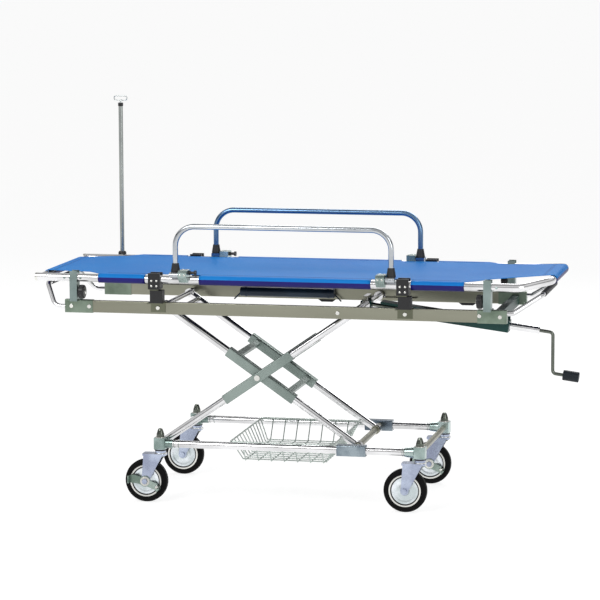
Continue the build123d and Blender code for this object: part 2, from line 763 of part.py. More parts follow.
with BuildPart() as brackets:
    for s in SIDES:
        for x in CRADLE_X:
            # angle bolted to the face of the bar
            with BuildSketch(along_x(x - 26, 0, 0)):
                with BuildLine():
                    Polyline(
                        (s * BAR_IN, BAR_TOP),
                        (s * BAR_OUT, BAR_TOP),
                        (s * BAR_OUT, TOP_Z - 13.5),
                        (s * (BAR_OUT + 3), TOP_Z - 13.5),
                        (s * (BAR_OUT + 3), BAR_TOP),
                        (s * (BED_Y + 19), BAR_TOP),
                        (s * (BED_Y + 19), RISER_Z0),
                        (s * BAR_IN, RISER_Z0),
                        close=True,
                    )
                make_face()
            extrude(amount=52)
            # plate between the two blocks
            with BuildSketch(along_z(x - 1, s * BED_Y, RISER_Z1)):
                Rectangle(30, 34)
            extrude(amount=CRADLE_Z0 - RISER_Z1)
brackets.part.label = "brackets"
export_step(brackets.part, "parts/brackets.step")

with BuildPart() as risers:
    for s in SIDES:
        for x in CRADLE_X:
            with BuildSketch(along_z(x + 6, s * BED_Y, RISER_Z0)):
                RectangleRounded(44, 38, 3)
            extrude(amount=RISER_Z1 - RISER_Z0)
    # two half-round pads under the far side bar
    for x in (32.0, 541.0):
        with BuildSketch(along_y(x, BAR_MID + 7, TOP_Z - BAR_H / 2)):
            with BuildLine():
                Polyline((-32, 0), (32, 0), (20, -9), (-20, -9), close=True)
            make_face()
        extrude(amount=14)
risers.part.label = "risers"
export_step(risers.part, "parts/risers.step")

with BuildPart() as cradles:
    for s in SIDES:
        for x in CRADLE_X:
            with BuildSketch(along_x(x - 21, s * BED_Y, 0)) as cradle_section:
                with Locations((0, (CRADLE_Z0 + CRADLE_TOP) / 2)):
                    Rectangle(2 * BED_R + 15, CRADLE_TOP - CRADLE_Z0)
                with Locations((0, BED_Z + 20)):
                    Rectangle(2 * BED_R + 0.6, 40, mode=Mode.SUBTRACT)
                with Locations((0, BED_Z)):
                    Circle(BED_R + 0.3, mode=Mode.SUBTRACT)
            extrude(amount=42)
cradles.part.label = "cradles"
export_step(cradles.part, "parts/cradles.step")

POST_IN = BED_Y - BED_R - 3.0
POST_OUT = BED_Y + BED_R + 5.0
POST_FOOT = BAR_TOP + 2

with BuildPart() as posts:
    for s in SIDES:
        for x in POST_X:
            with BuildSketch(along_x(x - 13, 0, 0)):
                with BuildLine():
                    Polyline(
                        (s * (BAR_IN - 2), POST_FOOT),
                        (s * POST_OUT, POST_FOOT),
                        (s * POST_OUT, POST_TOP),
                        (s * (BED_Y + BED_R + 0.3), POST_TOP),
                        (s * (BED_Y + BED_R + 0.3), BED_Z - BED_R - 0.3),
                        (s * (BED_Y - BED_R - 0.3), BED_Z - BED_R - 0.3),
                        (s * (BED_Y - BED_R - 0.3), POST_TOP),
                        (s * POST_IN, POST_TOP),
                        (s * POST_IN, POST_FOOT + 4),
                        (s * (BAR_IN - 2), POST_FOOT + 4),
                        close=True,
                    )
                make_face()
            extrude(amount=26)
            with BuildSketch(along_z(x, s * (POST_IN + POST_OUT) / 2, POST_FOOT + 4)):
                Rectangle(20, 28)
            extrude(amount=KNOB_Z + 25.5 - POST_FOOT - 4, mode=Mode.SUBTRACT)
            inner = 1 if x < 0 else -1
            with BuildSketch(along_x(x + inner * 13 - 6, s * (BED_Y + 1), KNOB_Z)):
                Circle(4 + FIT)
            extrude(amount=12, mode=Mode.SUBTRACT)
    # the pole's post stops below the collar of the pole
    with BuildSketch(along_z(POST_X[0], BED_Y, COLLAR_Z - 0.5)):
        Rectangle(40, 60)
    extrude(amount=40, mode=Mode.SUBTRACT)
    # socket for the pole on the far post at the open end
    with BuildSketch(along_z(POST_X[0], POLE_Y, POST_FOOT)):
        Circle(POLE_R + 3)
    extrude(amount=COLLAR_Z - POST_FOOT)
    with BuildSketch(along_z(POST_X[0], POLE_Y, POST_FOOT + 5)):
        Circle(POLE_R + FIT)
    extrude(amount=100, mode=Mode.SUBTRACT)
posts.part.label = "posts"
export_step(posts.part, "parts/posts.step")

# button heads of the bolts that hold the caps and brackets
with BuildPart() as bar_bolts:
    for s in SIDES:
        for x, up, out in (
            (BAR_X0 + 21, 0.5, 2),
            (BAR_X0 + 85, 0.5, 2),
            (BAR_X1 - 90, 2.5, 2),
            (BAR_X1 - 20, 0.5, 2),
            (CRADLE_X[0], 1.5, 3),
            (CRADLE_X[1], 1.5, 3),
            (172, -0.5, 0),
        ):
            y = BAR_OUT + out
            with BuildSketch(along_y(x, y + 4 if s > 0 else -y, TOP_Z + up)):
                Circle(7)
            extrude(amount=4)
    fillet(bar_bolts.faces().filter_by(Axis.Y).edges(), 1.2)
bar_bolts.part.label = "bar_bolts"
export_step(bar_bolts.part, "parts/bar_bolts.step")

# closed tube clipped to the inner face of the far side bar
STORE_Y = BAR_IN - 21.0
STORE_Z = TOP_Z + 3.5
with BuildPart() as storage_tube:
    with BuildSketch(along_x(-280, STORE_Y, STORE_Z)):
        Circle(17)
    extrude(amount=345)
    fillet(storage_tube.edges().filter_by(GeomType.CIRCLE), 3)
    for x in (-262, 40):
        with BuildSketch(along_x(x, STORE_Y, STORE_Z)):
            Circle(18.5)
            with Locations((12, 0)):
                Rectangle(18, 26)
        extrude(amount=8)
    for x0, x1 in ((-279, -304), (64, 89)):
        with BuildLine() as hook_path:
            Polyline((x0 + DX, STORE_Y, STORE_Z - 3), (x1 + DX, STORE_Y, STORE_Z - 28))
        with BuildSketch(Plane(hook_path.line @ 0, z_dir=hook_path.line % 0)):
            Circle(2.5)
        sweep(path=hook_path.line)
storage_tube.part.label = "storage_tube"
export_step(storage_tube.part, "parts/storage_tube.step")

for tag, (sx, s) in CORNERS.items():
    post_x = POST_X[0] if sx < 0 else POST_X[1]
    with BuildPart() as clamp_knob:
        with BuildSketch(along_x(post_x - sx * 13 - (0 if sx < 0 else 24), s * (BED_Y + 1), KNOB_Z)):
            Circle(7)
        extrude(amount=24)
        with BuildSketch(along_x(post_x - sx * 13 - (-3 if sx < 0 else 24), s * (BED_Y + 1), KNOB_Z)):
            Circle(23.5)
        extrude(amount=21)
        fillet(clamp_knob.edges().filter_by(GeomType.CIRCLE).filter_by(lambda e: e.radius > 20), 5)
        with BuildSketch(along_x(post_x - sx * 13 - 9, s * (BED_Y + 1), KNOB_Z)):
            Circle(4)
        extrude(amount=18)
    clamp_knob.part.label = f"clamp_knob_{tag}"
    export_step(clamp_knob.part, f"parts/clamp_knob_{tag}.step")

# =====================================================================
# Stretcher
# =====================================================================

with BuildPart() as stretcher_frame:
    with BuildLine() as bed_path:
        FilletPolyline(
            (BED_X0 + DX, -BED_Y, BED_Z),
            (BOW_X - 93 + DX, -BED_Y, BED_Z),
            (BOW_X + DX, -BOW_Y, BOW_Z),
            (BOW_X + DX, BOW_Y, BOW_Z),
            (BOW_X - 93 + DX, BED_Y, BED_Z),
            (BED_X0 + DX, BED_Y, BED_Z),
            radius=45,
        )
    with BuildSketch(along_x(BED_X0, -BED_Y, BED_Z)):
        Circle(BED_R)
    sweep(path=bed_path.line)
    with BuildSketch(along_y(SPREADER_X, BED_Y, BED_Z)):
        Circle(SPREADER_R)
    extrude(amount=2 * BED_Y)
    with BuildSketch(along_x(BED_X0, -BED_Y, BED_Z)):
        Circle(BED_R - 2)
    sweep(path=bed_path.line, mode=Mode.SUBTRACT)
stretcher_frame.part.label = "stretcher_frame"
export_step(stretcher_frame.part, "parts/stretcher_frame.step")

# canvas deck with sleeves round the side tubes and round both end bars
DECK_TOP = BED_Z + BED_R + 0.3 + CLOTH_T
GAPS = ((-495.0, -303.0), (294.0, 432.0))
with BuildPart() as canvas:
    # the deck seen from the side
    with BuildSketch(along_y(0, BED_Y + 33, 0)):
        with BuildLine():
            top = [
                (SPREADER_X, BED_Z + SPREADER_R + 0.3 + CLOTH_T),
                (CLOTH_X0, DECK_TOP),
                (650, DECK_TOP),
                (BOW_X, BOW_Z + BED_R + 0.3 + CLOTH_T),
            ]
            low = [(x, z - CLOTH_T) for x, z in reversed(top)]
            Polyline(*(top + low), close=True)
        make_face()
    extrude(amount=2 * BED_Y + 66)
    # the deck seen from above
    with BuildSketch(Plane.XY.offset(700)):
        with BuildLine():
            near = [
                (BOW_X, -155),
                (690, -212),
                (CLOTH_X1, -BED_Y),
                (GAPS[1][1], -BED_Y),
                (GAPS[1][1], -262),
                (GAPS[1][0], -262),
                (GAPS[1][0], -BED_Y),
                (GAPS[0][1], -BED_Y),
                (GAPS[0][1], -262),
                (GAPS[0][0], -262),
                (GAPS[0][0], -BED_Y),
                (CLOTH_X0, -BED_Y),
                (-708, -235),
                (SPREADER_X, -195),
            ]
            far = [(x, -y) for x, y in reversed(near)]
            Polyline(*[(x + DX, y) for x, y in near + far], close=True)
        make_face()
    extrude(amount=200, mode=Mode.INTERSECT)
    # sleeves
    for s in SIDES:
        for x0, x1 in ((CLOTH_X0, GAPS[0][0]), (GAPS[0][1], GAPS[1][0]), (GAPS[1][1], CLOTH_X1)):
            with BuildSketch(along_x(x0, s * BED_Y, BED_Z)):
                Circle(BED_R + 0.3 + CLOTH_T)
            extrude(amount=x1 - x0)
    with BuildSketch(along_y(BOW_X, 155, BOW_Z)):
        Circle(BED_R + 0.3 + CLOTH_T)
    extrude(amount=310)
    with BuildSketch(along_y(SPREADER_X, 195, BED_Z)):
        Circle(SPREADER_R + 0.3 + CLOTH_T)
    extrude(amount=390)
    for s in SIDES:
        with BuildSketch(along_x(CLOTH_X0 - 20, s * BED_Y, BED_Z)):
            Circle(BED_R + 0.3)
        extrude(amount=CLOTH_X1 - CLOTH_X0 + 40, mode=Mode.SUBTRACT)
    with BuildSketch(along_y(BOW_X, 180, BOW_Z)):
        Circle(BED_R + 0.3)
    extrude(amount=360, mode=Mode.SUBTRACT)
    with BuildSketch(along_y(SPREADER_X, 220, BED_Z)):
        Circle(SPREADER_R + 0.3)
    extrude(amount=440, mode=Mode.SUBTRACT)
canvas.part.label = "canvas"
export_step(canvas.part, "parts/canvas.step")

CONE_R = 16.0
CLAMPS = (GUARD_X0 + 17, GUARD_X1 - 17 - 31)
with BuildPart() as rail_clamps:
    for s in SIDES:
        for x0 in CLAMPS:
            with BuildSketch(along_x(x0, 0, 0)):
                with BuildLine():
                    Polyline(
                        (s * (BED_Y - BED_R - 4), BED_Z - 7),
                        (s * (BED_Y + BED_R + 4), BED_Z - 7),
                        (s * HALF_WIDTH, BED_Z + 13),
                        (s * HALF_WIDTH, BED_Z + BED_R + 14),
                        (s * (BED_Y + 31), BED_Z + BED_R + 21),
                        (s * (BED_Y - BED_R - 4), BED_Z + BED_R + 21),
                        close=True,
                    )
                make_face()
                with Locations((s * BED_Y, BED_Z)):
                    Circle(BED_R + 0.02, mode=Mode.SUBTRACT)
                with Locations((s * (BED_Y + 2), PLUNGER_Z)):
                    Circle(3 + FIT, mode=Mode.SUBTRACT)
            extrude(amount=31)
            # hinge pin that reaches out over the guard's foot
            pin_x0 = x0 - 33 if x0 < 0 else x0
            with BuildSketch(along_x(pin_x0, s * PIN_Y, PIN_Z)):
                Circle(4)
            extrude(amount=64)
rail_clamps.part.label = "rail_clamps"
export_step(rail_clamps.part, "parts/rail_clamps.step")

for tag, s in (("front", -1), ("rear", 1)):
    with BuildPart() as guard:
        for x in (GUARD_X0, GUARD_X1):
            with BuildSketch(along_x(x - 15, 0, 0)):
                with Locations((s * (BED_Y + 6.5), (FOOT_TOP + FOOT_Z) / 2)):
                    Rectangle(43, FOOT_TOP - FOOT_Z)
                with Locations((s * PIN_Y, PIN_Z)):
                    Circle(8)
            extrude(amount=30)
        with BuildLine() as guard_path:
            FilletPolyline(
                (GUARD_X0 + DX, s * BED_Y, FOOT_TOP),
                (GUARD_X0 + DX, s * BED_Y, GUARD_Z),
                (GUARD_X1 + DX, s * BED_Y, GUARD_Z),
                (GUARD_X1 + DX, s * BED_Y, FOOT_TOP),
                radius=GUARD_BEND,
            )
        with BuildSketch(along_z(GUARD_X0, s * BED_Y, FOOT_TOP)):
            Circle(GUARD_R)
            Circle(GUARD_R - 1.5, mode=Mode.SUBTRACT)
        sweep(path=guard_path.line)
        for x in (GUARD_X0, GUARD_X1):
            with BuildSketch(along_x(x - 20, s * PIN_Y, PIN_Z)):
                Circle(4 + FIT)
            extrude(amount=40, mode=Mode.SUBTRACT)
    guard.part.label = f"guard_{tag}"
    export_step(guard.part, f"parts/guard_{tag}.step")

    with BuildPart() as guard_collars:
        for x in (GUARD_X0, GUARD_X1):
            with BuildSketch(along_y(x, s * BED_Y, 0)):
                with BuildLine():
                    z0 = FOOT_TOP
                    Polyline((GUARD_R + 0.03, z0), (CONE_R, z0), (CONE_R, z0 + 5), (11.5, z0 + 31),
                             (GUARD_R + 0.03, z0 + 31), close=True)
                make_face()
            revolve(axis=Axis((x + DX, s * BED_Y, 0), (0, 0, 1)))
    guard_collars.part.label = f"guard_collars_{tag}"
    export_step(guard_collars.part, f"parts/guard_collars_{tag}.step")

    # spring plunger with a spool-shaped knob
    x0 = CLAMPS[0]
    with BuildPart() as plunger:
        for x1, x2, r in ((0.5, 57, 3), (31.3, 36, 7.5), (36, 50, 5), (50, 57, 8.5)):
            with BuildSketch(along_x(x0 + x1, s * (BED_Y + 2), PLUNGER_Z)):
                Circle(r)
            extrude(amount=x2 - x1)
    plunger.part.label = f"plunger_{tag}"
    export_step(plunger.part, f"parts/plunger_{tag}.step")

# =====================================================================
# Pole
# =====================================================================

with BuildPart() as iv_pole:
    with BuildSketch(along_z(POST_X[0], POLE_Y, POST_FOOT + 5)):
        Circle(POLE_R)
    extrude(amount=POLE_TOP - POST_FOOT - 5)
    with BuildSketch(along_z(POST_X[0], POLE_Y, COLLAR_Z)):
        Circle(13)
    extrude(amount=9.5)
    fillet(iv_pole.edges().filter_by(GeomType.CIRCLE).filter_by(lambda e: e.radius > 12), 2)
    # socket in the top for the hook
    with BuildSketch(along_z(POST_X[0], POLE_Y, POLE_TOP - 20)):
        Circle(3 + FIT)
    extrude(amount=21, mode=Mode.SUBTRACT)
iv_pole.part.label = "iv_pole"
export_step(iv_pole.part, "parts/iv_pole.step")

with BuildPart() as iv_hook:
    with BuildSketch(along_z(POST_X[0], POLE_Y, POLE_TOP - 19)):
        Circle(3)
    extrude(amount=28)
    with BuildSketch(along_z(POST_X[0], POLE_Y, POLE_TOP)):
        Circle(6)
    extrude(amount=3)
    with BuildLine() as loop_path:
        hx = POST_X[0] + DX
        FilletPolyline(
            (hx + 24, POLE_Y, POLE_TOP + 10),
            (hx + 24, POLE_Y, POLE_TOP + 25),
            (hx - 24, POLE_Y, POLE_TOP + 25),
            (hx - 24, POLE_Y, POLE_TOP + 10),
            radius=7,
            close=True,
        )
    with BuildSketch(Plane(loop_path.line @ 0, z_dir=loop_path.line % 0)):
        Circle(2.2)
    sweep(path=loop_path.line)
iv_hook.part.label = "iv_hook"
export_step(iv_hook.part, "parts/iv_hook.step")
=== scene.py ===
import json
import math

import bpy
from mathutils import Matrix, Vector


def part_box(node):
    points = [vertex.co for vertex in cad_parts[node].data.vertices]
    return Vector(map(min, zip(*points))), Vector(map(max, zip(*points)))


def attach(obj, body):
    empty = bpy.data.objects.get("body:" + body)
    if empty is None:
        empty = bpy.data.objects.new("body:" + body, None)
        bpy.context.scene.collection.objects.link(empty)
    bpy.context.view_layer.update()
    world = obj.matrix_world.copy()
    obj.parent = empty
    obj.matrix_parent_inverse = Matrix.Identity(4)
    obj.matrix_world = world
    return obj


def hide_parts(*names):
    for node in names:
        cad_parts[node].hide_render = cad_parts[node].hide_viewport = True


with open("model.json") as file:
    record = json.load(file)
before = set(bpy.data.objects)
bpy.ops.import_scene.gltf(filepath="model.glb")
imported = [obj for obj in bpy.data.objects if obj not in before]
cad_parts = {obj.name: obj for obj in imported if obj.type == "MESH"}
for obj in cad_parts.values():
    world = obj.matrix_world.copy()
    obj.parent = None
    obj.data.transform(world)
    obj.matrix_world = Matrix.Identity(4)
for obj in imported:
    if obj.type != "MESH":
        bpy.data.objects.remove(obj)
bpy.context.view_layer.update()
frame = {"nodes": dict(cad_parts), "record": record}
nodes = frame["nodes"]

TUBE_R = 0.014
CLOTH = 0.0022
EASE = 0.0005


# ---------------------------------------------------------------- materials

def linear(tone):
    """A colour as seen, as the linear values that a shader takes."""
    return tuple(c / 12.92 if c <= 0.04045 else ((c + 0.055) / 1.055) ** 2.4 for c in tone) + (1.0,)


def finish_of(name, tone, metal=0.0, rough=0.4, other=None, patch=6.0, grain=400.0, depth=0.1,
              rough_spread=0.1, stretch=(1, 1, 1), coat=0.0, spec=None):
    """A finish with broad patches of a second tone, fine grain in its bump and uneven polish."""
    material = bpy.data.materials.new(name)
    material.use_nodes = True
    tree = material.node_tree
    shader = tree.nodes["Principled BSDF"]
    shader.inputs["Metallic"].default_value = metal
    if coat:
        shader.inputs["Coat Weight"].default_value = coat
        shader.inputs["Coat Roughness"].default_value = 0.12
    if spec is not None:
        shader.inputs["Specular IOR Level"].default_value = spec
    place = tree.nodes.new("ShaderNodeTexCoord")
    turn = tree.nodes.new("ShaderNodeMapping")
    turn.inputs["Scale"].default_value = stretch
    tree.links.new(place.outputs["Object"], turn.inputs["Vector"])
    patches = tree.nodes.new("ShaderNodeTexNoise")
    patches.inputs["Scale"].default_value = patch
    patches.inputs["Detail"].default_value = 4
    fine = tree.nodes.new("ShaderNodeTexNoise")
    fine.inputs["Scale"].default_value = grain
    fine.inputs["Detail"].default_value = 3
    for texture in (patches, fine):
        tree.links.new(turn.outputs["Vector"], texture.inputs["Vector"])
    tones = tree.nodes.new("ShaderNodeValToRGB")
    tones.color_ramp.elements[0].position = 0.35
    tones.color_ramp.elements[1].position = 0.65
    tones.color_ramp.elements[0].color = linear(other or tuple(c * 0.86 for c in tone))
    tones.color_ramp.elements[1].color = linear(tone)
    tree.links.new(patches.outputs["Fac"], tones.inputs["Fac"])
    tree.links.new(tones.outputs["Color"], shader.inputs["Base Color"])
    polish = tree.nodes.new("ShaderNodeMapRange")
    polish.inputs["To Min"].default_value = max(0.03, rough - rough_spread)
    polish.inputs["To Max"].default_value = rough + rough_spread
    tree.links.new(fine.outputs["Fac"], polish.inputs["Value"])
    tree.links.new(polish.outputs["Result"], shader.inputs["Roughness"])
    bump = tree.nodes.new("ShaderNodeBump")
    bump.inputs["Strength"].default_value = depth
    bump.inputs["Distance"].default_value = 0.0006
    tree.links.new(fine.outputs["Fac"], bump.inputs["Height"])
    tree.links.new(bump.outputs["Normal"], shader.inputs["Normal"])
    return material


def add_weave(material, scale, depth):
    """A fine two-way weave over a cloth's grain."""
    tree = material.node_tree
    bump = next(n for n in tree.nodes if n.bl_idname == "ShaderNodeBump")
    place = next(n for n in tree.nodes if n.bl_idname == "ShaderNodeTexCoord")
    weave = tree.nodes.new("ShaderNodeBump")
    weave.inputs["Strength"].default_value = depth
    weave.inputs["Distance"].default_value = 0.0004
    both = tree.nodes.new("ShaderNodeMath")
    both.operation = "MAXIMUM"
    for i, way in enumerate(("X", "Y")):
        thread = tree.nodes.new("ShaderNodeTexWave")
        thread.bands_direction = way
        thread.inputs["Scale"].default_value = scale
        tree.links.new(place.outputs["Object"], thread.inputs["Vector"])
        tree.links.new(thread.outputs["Fac"], both.inputs[i])
    tree.links.new(both.outputs[0], weave.inputs["Height"])
    tree.links.new(bump.outputs["Normal"], weave.inputs["Normal"])
    tree.links.new(weave.outputs["Normal"], tree.nodes["Principled BSDF"].inputs["Normal"])


def ribbed(material, way, scale, depth):
    """Rows of moulded ribs across a grip."""
    tree = material.node_tree
    bump = next(n for n in tree.nodes if n.bl_idname == "ShaderNodeBump")
    place = next(n for n in tree.nodes if n.bl_idname == "ShaderNodeTexCoord")
    rib = tree.nodes.new("ShaderNodeTexWave")
    rib.bands_direction = way
    rib.inputs["Scale"].default_value = scale
    ribs = tree.nodes.new("ShaderNodeBump")
    ribs.inputs["Strength"].default_value = depth
    ribs.inputs["Distance"].default_value = 0.001
    tree.links.new(place.outputs["Object"], rib.inputs["Vector"])
    tree.links.new(rib.outputs["Fac"], ribs.inputs["Height"])
    tree.links.new(bump.outputs["Normal"], ribs.inputs["Normal"])
    tree.links.new(ribs.outputs["Normal"], tree.nodes["Principled BSDF"].inputs["Normal"])


FINISHES = {
    "chrome_tube": dict(tone=(0.95, 0.95, 0.955), metal=1.0, rough=0.13, depth=0.02, rough_spread=0.04),
    # blue_chrome is chrome with a blue tint: a painted reflection of the blue canvas on the far-side chrome tubes.
    "blue_chrome": dict(tone=(0.45, 0.58, 0.72), metal=1.0, rough=0.2, depth=0.03, rough_spread=0.06),
    "zinc_block": dict(tone=(0.75, 0.82, 0.81), metal=0.9, rough=0.28, other=(0.5, 0.57, 0.55), patch=12.0),
    "zinc_bright": dict(tone=(0.93, 0.93, 0.91), metal=1.0, rough=0.2, depth=0.05),
    "bracket_zinc": dict(tone=(0.46, 0.47, 0.4), metal=0.9, rough=0.34, other=(0.38, 0.39, 0.33)),
    "champagne": dict(tone=(0.61, 0.61, 0.55), metal=0.95, rough=0.3, other=(0.55, 0.55, 0.49),
                      stretch=(0.15, 1, 1), grain=900.0, depth=0.04, rough_spread=0.04),
    "sleeve_grey": dict(tone=(0.6, 0.65, 0.63), metal=0.85, rough=0.34, other=(0.47, 0.52, 0.5), stretch=(1, 1, 0.3)),
    "slider_grey": dict(tone=(0.62, 0.67, 0.7), metal=0.88, rough=0.28, other=(0.38, 0.43, 0.48), patch=14.0),
    "basket_wire": dict(tone=(0.74, 0.78, 0.76), metal=0.9, rough=0.28),
    "fork_zinc": dict(tone=(0.75, 0.79, 0.87), metal=0.92, rough=0.25, other=(0.6, 0.63, 0.72), patch=16.0),
    "hub_zinc": dict(tone=(0.95, 0.97, 0.99), metal=0.92, rough=0.24, other=(0.78, 0.82, 0.83), patch=24.0),
    "tyre_rubber": dict(tone=(0.03, 0.03, 0.033), rough=0.6, other=(0.02, 0.02, 0.023), grain=700.0, depth=0.2, spec=0.12),
    "brake_zinc": dict(tone=(0.66, 0.72, 0.69), metal=0.9, rough=0.28, other=(0.45, 0.52, 0.48), patch=20.0),
    "housing_teal": dict(tone=(0.07, 0.28, 0.26), metal=0.3, rough=0.4, other=(0.05, 0.2, 0.19)),
    "black_rubber": dict(tone=(0.1, 0.1, 0.11), rough=0.5, grain=800.0, depth=0.25),
    "black_plastic": dict(tone=(0.07, 0.07, 0.085), rough=0.34, grain=900.0, depth=0.12),
    "grip_slate": dict(tone=(0.1, 0.14, 0.17), rough=0.5, other=(0.07, 0.1, 0.13), grain=700.0, depth=0.2, spec=0.3),
    "tube_navy": dict(tone=(0.13, 0.21, 0.29), metal=0.2, rough=0.36, other=(0.09, 0.15, 0.22)),
    "canvas_blue": dict(tone=(0.1, 0.5, 0.81), rough=0.5, other=(0.06, 0.45, 0.77), patch=2.2, grain=260.0,
                        depth=0.1, spec=0.1),
    "pole_steel": dict(tone=(0.68, 0.7, 0.69), metal=1.0, rough=0.22, depth=0.04),
    "hook_bright": dict(tone=(0.85, 0.87, 0.87), metal=1.0, rough=0.2, depth=0.03),
}
materials = {name: finish_of(name, **sizes) for name, sizes in FINISHES.items()}
thread_blue = finish_of("thread_blue", (0.07, 0.2, 0.52), rough=0.6, grain=1500.0, depth=0.3)
# Dark finish for a disc inside each open tube end: painted shade for the hollow bore.
bore_shade = finish_of("bore_shade", (0.06, 0.065, 0.07), rough=0.7, grain=500.0)
# Indigo painted shade for the outer and lower side of each sleeve and end wrap, where the cloth turns away from the
# light.
sleeve_shade_indigo = finish_of("sleeve_shade_indigo", (0.12, 0.1, 0.45), rough=0.4, other=(0.09, 0.08, 0.38), patch=3.0,
                       grain=300.0, depth=0.12, spec=0.25)
# The cloth's underside is painted shade: dark blue-grey in place of the canvas blue, which also keeps the blue out of
# the lift screw's reflection.
canvas_underside_shade = finish_of("canvas_underside_shade", (0.09, 0.11, 0.17), rough=0.6, other=(0.07, 0.09, 0.14), patch=3.0,
                        grain=500.0, depth=0.2, spec=0.2)
add_weave(materials["canvas_blue"], 260.0, 0.16)
add_weave(sleeve_shade_indigo, 260.0, 0.16)
ribbed(materials["grip_slate"], "Z", 60.0, 0.25)

slot_of = {}
for part in frame["record"]["subparts"]:
    slot_of[part["node"]] = part.get("material_slot") or "zinc_block"
materials["dark_steel"] = finish_of("dark_steel", (0.43, 0.45, 0.42), metal=1.0, rough=0.22, depth=0.05)
materials["cap_zinc"] = finish_of("cap_zinc", (0.54, 0.6, 0.54), metal=0.9, rough=0.32, other=(0.43, 0.49, 0.43),
                                  patch=14.0)
materials["post_zinc"] = finish_of("post_zinc", (0.59, 0.65, 0.64), metal=0.9, rough=0.3, other=(0.47, 0.53, 0.52),
                                   patch=10.0)
materials["guard_chrome"] = finish_of("guard_chrome", (0.8, 0.82, 0.84), metal=1.0, rough=0.16, depth=0.03)
slot_of.update(crank_arm="dark_steel", lift_screw="dark_steel", kingpins="dark_steel", end_caps="cap_zinc",
               posts="post_zinc", guard_front="guard_chrome")
for name, node in nodes.items():
    finish = materials.get(slot_of.get(name), materials["zinc_block"])
    node.data.materials.clear()
    node.data.materials.append(finish)


# ---------------------------------------------------------------- makers

def piece(name, points, faces, material, body, smooth=True):
    """A mesh in place, riding on a body."""
    mesh = bpy.data.meshes.new(name)
    mesh.from_pydata([tuple(p) for p in points], [], faces)
    mesh.materials.append(material)
    if smooth:
        mesh.polygons.foreach_set("use_smooth", [True] * len(mesh.polygons))
    mesh.update()
    made = bpy.data.objects.new(name, mesh)
    bpy.context.scene.collection.objects.link(made)
    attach(made, body)
    return made


def axes(direction):
    """Two directions square to a given one."""
    along = Vector(direction).normalized()
    side = along.orthogonal().normalized()
    return along, side, along.cross(side)


def turned(points, faces, centre, direction, profile, steps=48):
    """Adds a closed turned ring or knob: profile is (radius, distance along the axis) points, in order."""
    along, side, up = axes(direction)
    first = len(points)
    count = len(profile)
    for i in range(steps):
        angle = 2 * math.pi * i / steps
        out = side * math.cos(angle) + up * math.sin(angle)
        for radius, at in profile:
            points.append(Vector(centre) + along * at + out * radius)
    for i in range(steps):
        for j in range(count):
            a = first + i * count + j
            b = first + i * count + (j + 1) % count
            c = first + ((i + 1) % steps) * count + (j + 1) % count
            d = first + ((i + 1) % steps) * count + j
            faces.append((a, b, c, d))


def outwards(made):
    """Merges doubles at the poles and turns every face out."""
    import bmesh
    work = bmesh.new()
    work.from_mesh(made.data)
    bmesh.ops.remove_doubles(work, verts=work.verts, dist=1e-6)
    bmesh.ops.dissolve_degenerate(work, edges=work.edges, dist=1e-7)
    bmesh.ops.recalc_face_normals(work, faces=work.faces)
    work.to_mesh(made.data)
    work.free()
    made.data.set_sharp_from_angle(angle=math.radians(38))
    return made


def turnings(name, items, material, body, steps=48):
    points, faces = [], []
    for centre, direction, profile in items:
        turned(points, faces, centre, direction, profile, steps)
    return outwards(piece(name, points, faces, material, body))


def bead_tree():
    """Geometry Nodes: a rounded bead on each point, its axis along the point's facing."""
    tree = bpy.data.node_groups.new("beads", "GeometryNodeTree")
    tree.interface.new_socket("Geometry", in_out="INPUT", socket_type="NodeSocketGeometry")
    for name in ("Radius", "Length ratio"):
        tree.interface.new_socket(name, in_out="INPUT", socket_type="NodeSocketFloat")
    tree.interface.new_socket("Finish", in_out="INPUT", socket_type="NodeSocketMaterial")
    tree.interface.new_socket("Geometry", in_out="OUTPUT", socket_type="NodeSocketGeometry")
    new, link = tree.nodes.new, tree.links.new
    given = new("NodeGroupInput")
    result = new("NodeGroupOutput")
    dots = new("GeometryNodeMeshToPoints")
    bead = new("GeometryNodeMeshUVSphere")
    bead.inputs["Segments"].default_value = 12
    bead.inputs["Rings"].default_value = 8
    shape = new("ShaderNodeCombineXYZ")
    shape.inputs["X"].default_value = 1.0
    shape.inputs["Y"].default_value = 1.0
    stretch = new("GeometryNodeTransform")
    facing = new("GeometryNodeInputNamedAttribute")
    facing.data_type = "FLOAT_VECTOR"
    facing.inputs["Name"].default_value = "facing"
    aim = new("FunctionNodeAlignEulerToVector")
    aim.axis = "Z"
    put = new("GeometryNodeInstanceOnPoints")
    real = new("GeometryNodeRealizeInstances")
    coat = new("GeometryNodeSetMaterial")
    smooth = new("GeometryNodeSetShadeSmooth")
    link(given.outputs["Geometry"], dots.inputs["Mesh"])
    link(given.outputs["Radius"], bead.inputs["Radius"])
    link(given.outputs["Length ratio"], shape.inputs["Z"])
    link(bead.outputs["Mesh"], stretch.inputs["Geometry"])
    link(shape.outputs["Vector"], stretch.inputs["Scale"])
    link(facing.outputs["Attribute"], aim.inputs["Vector"])
    link(dots.outputs["Points"], put.inputs["Points"])
    link(stretch.outputs["Geometry"], put.inputs["Instance"])
    link(aim.outputs["Rotation"], put.inputs["Rotation"])
    link(put.outputs["Instances"], real.inputs["Geometry"])
    link(real.outputs["Geometry"], smooth.inputs["Geometry"])
    link(smooth.outputs["Geometry"], coat.inputs["Geometry"])
    link(given.outputs["Finish"], coat.inputs["Material"])
    link(coat.outputs["Geometry"], result.inputs["Geometry"])
    return tree


beads_on_points = bead_tree()


